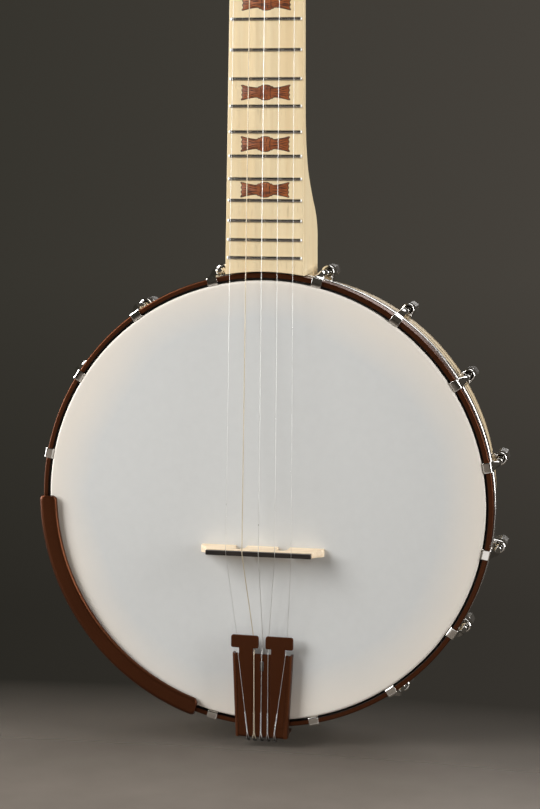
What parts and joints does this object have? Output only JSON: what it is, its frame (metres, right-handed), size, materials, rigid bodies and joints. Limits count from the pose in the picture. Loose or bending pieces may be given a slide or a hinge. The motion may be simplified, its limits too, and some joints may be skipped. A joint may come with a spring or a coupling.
{
  "type": "open-back banjo",
  "caption": "Open-back five-string banjo with a round drum pot, frosted head, tension hoop with hooks, armrest, tailpiece, long fretted maple neck and geared tuners.",
  "frame": {"origin": "where a wall hanger grips the neck just behind the nut, on the middle plane of the pot", "axes": "+Z along the instrument from the pot to the headstock, -Y out of the playing face, +X to the player's treble side seen from the front"},
  "size_m": [0.2986, 0.1074, 0.957],
  "materials": {
    "maple_rim": "satin lacquer",
    "frosted_head": "frosted",
    "nickel_hoop": "polished",
    "bronze_paint": "satin brown lacquer",
    "chrome": "polished",
    "zinc_steel": "plated",
    "maple_bridge": "satin",
    "ebony": "polished",
    "maple_neck": "satin lacquer",
    "maple_board": "satin lacquer",
    "fret_wire": "polished",
    "red_wood": "satin",
    "dot_plastic": "satin",
    "nut_white": "satin",
    "string_steel": "polished",
    "string_bronze": "wound",
    "gear_brass": "machined"
  },
  "bodies": {
    "banjo": {"rim": "maple_rim", "head": "frosted_head", "flesh_hoop": "nickel_hoop", "tension_hoop": "bronze_paint", "bracket_hooks": "chrome", "hook_nuts": "chrome", "bracket_shoes": "chrome", "shoe_bolts": "zinc_steel", "shoe_washers": "zinc_steel", "coordinator_rod": "zinc_steel", "rod_nuts": "zinc_steel", "rod_washers": "zinc_steel", "neck_lag_bolts": "zinc_steel", "tailpiece": "bronze_paint", "tailpiece_bracket": "zinc_steel", "tailpiece_bolts": "zinc_steel", "armrest": "bronze_paint", "armrest_clamps": "zinc_steel", "bridge_base": "maple_bridge", "bridge_saddle": "ebony", "neck": "maple_neck", "fingerboard": "maple_board", "frets": "fret_wire", "fret_inlays": "red_wood", "side_dots": "dot_plastic", "nut": "nut_white", "fifth_string_nut": "nut_white", "string_1": "string_steel", "string_2": "string_steel", "string_3": "string_steel", "string_4": "string_bronze", "string_5": "string_steel", "tuner_housings": "chrome", "tuner_bushings": "chrome", "tuner_screws": "chrome", "fifth_tuner_case": "chrome"},
    "button_1": {"tuner_worm_1": "zinc_steel", "tuner_button_1": "chrome"},
    "post_1": {"tuner_post_1": "chrome", "tuner_wheel_1": "gear_brass", "string_coil_1": "string_steel"},
    "button_2": {"tuner_worm_2": "zinc_steel", "tuner_button_2": "chrome"},
    "post_2": {"tuner_post_2": "chrome", "tuner_wheel_2": "gear_brass", "string_coil_2": "string_steel"},
    "button_3": {"tuner_worm_3": "zinc_steel", "tuner_button_3": "chrome"},
    "post_3": {"tuner_post_3": "chrome", "tuner_wheel_3": "gear_brass", "string_coil_3": "string_steel"},
    "button_4": {"tuner_worm_4": "zinc_steel", "tuner_button_4": "chrome"},
    "post_4": {"tuner_post_4": "chrome", "tuner_wheel_4": "gear_brass", "string_coil_4": "string_bronze"},
    "fifth_button": {"fifth_tuner_button": "chrome"},
    "fifth_spool": {"fifth_tuner_spool": "chrome", "string_coil_5": "string_steel"}
  },
  "joints": [
    {"name": "button_1_turn", "type": "hinge", "parent": "banjo", "child": "button_1", "pos_m": [0.0225, 0.02803, 0.04056], "axis": [1, 0, 0], "continuous": true},
    {"name": "post_1_turn", "type": "hinge", "parent": "banjo", "child": "post_1", "pos_m": [0.0225, 0.02585, 0.03328], "axis": [0, -0.958, 0.2867], "continuous": true},
    {"name": "button_2_turn", "type": "hinge", "parent": "banjo", "child": "button_2", "pos_m": [0.0225, 0.04379, 0.09325], "axis": [1, 0, 0], "continuous": true},
    {"name": "post_2_turn", "type": "hinge", "parent": "banjo", "child": "post_2", "pos_m": [0.0225, 0.04162, 0.08597], "axis": [0, -0.958, 0.2867], "continuous": true},
    {"name": "button_3_turn", "type": "hinge", "parent": "banjo", "child": "button_3", "pos_m": [-0.0175, 0.04379, 0.09325], "axis": [1, 0, 0], "continuous": true},
    {"name": "post_3_turn", "type": "hinge", "parent": "banjo", "child": "post_3", "pos_m": [-0.0175, 0.04162, 0.08597], "axis": [0, -0.958, 0.2867], "continuous": true},
    {"name": "button_4_turn", "type": "hinge", "parent": "banjo", "child": "button_4", "pos_m": [-0.0175, 0.02803, 0.04056], "axis": [1, 0, 0], "continuous": true},
    {"name": "post_4_turn", "type": "hinge", "parent": "banjo", "child": "post_4", "pos_m": [-0.0175, 0.02585, 0.03328], "axis": [0, -0.958, 0.2867], "continuous": true},
    {"name": "fifth_button_turn", "type": "hinge", "parent": "banjo", "child": "fifth_button", "pos_m": [-0.0132, -0.01013, -0.14475], "axis": [-1, 0, 0], "continuous": true},
    {"name": "fifth_spool_turn", "type": "hinge", "parent": "banjo", "child": "fifth_spool", "pos_m": [-0.0132, -0.01013, -0.14475], "axis": [-1, 0, 0], "continuous": true}
  ],
  "couplings": [
    {"joint": "post_1_turn", "follows": "button_1_turn", "ratio": 0.071429},
    {"joint": "post_2_turn", "follows": "button_2_turn", "ratio": 0.071429},
    {"joint": "post_3_turn", "follows": "button_3_turn", "ratio": -0.071429},
    {"joint": "post_4_turn", "follows": "button_4_turn", "ratio": -0.071429},
    {"joint": "fifth_spool_turn", "follows": "fifth_button_turn", "ratio": 0.25}
  ]
}
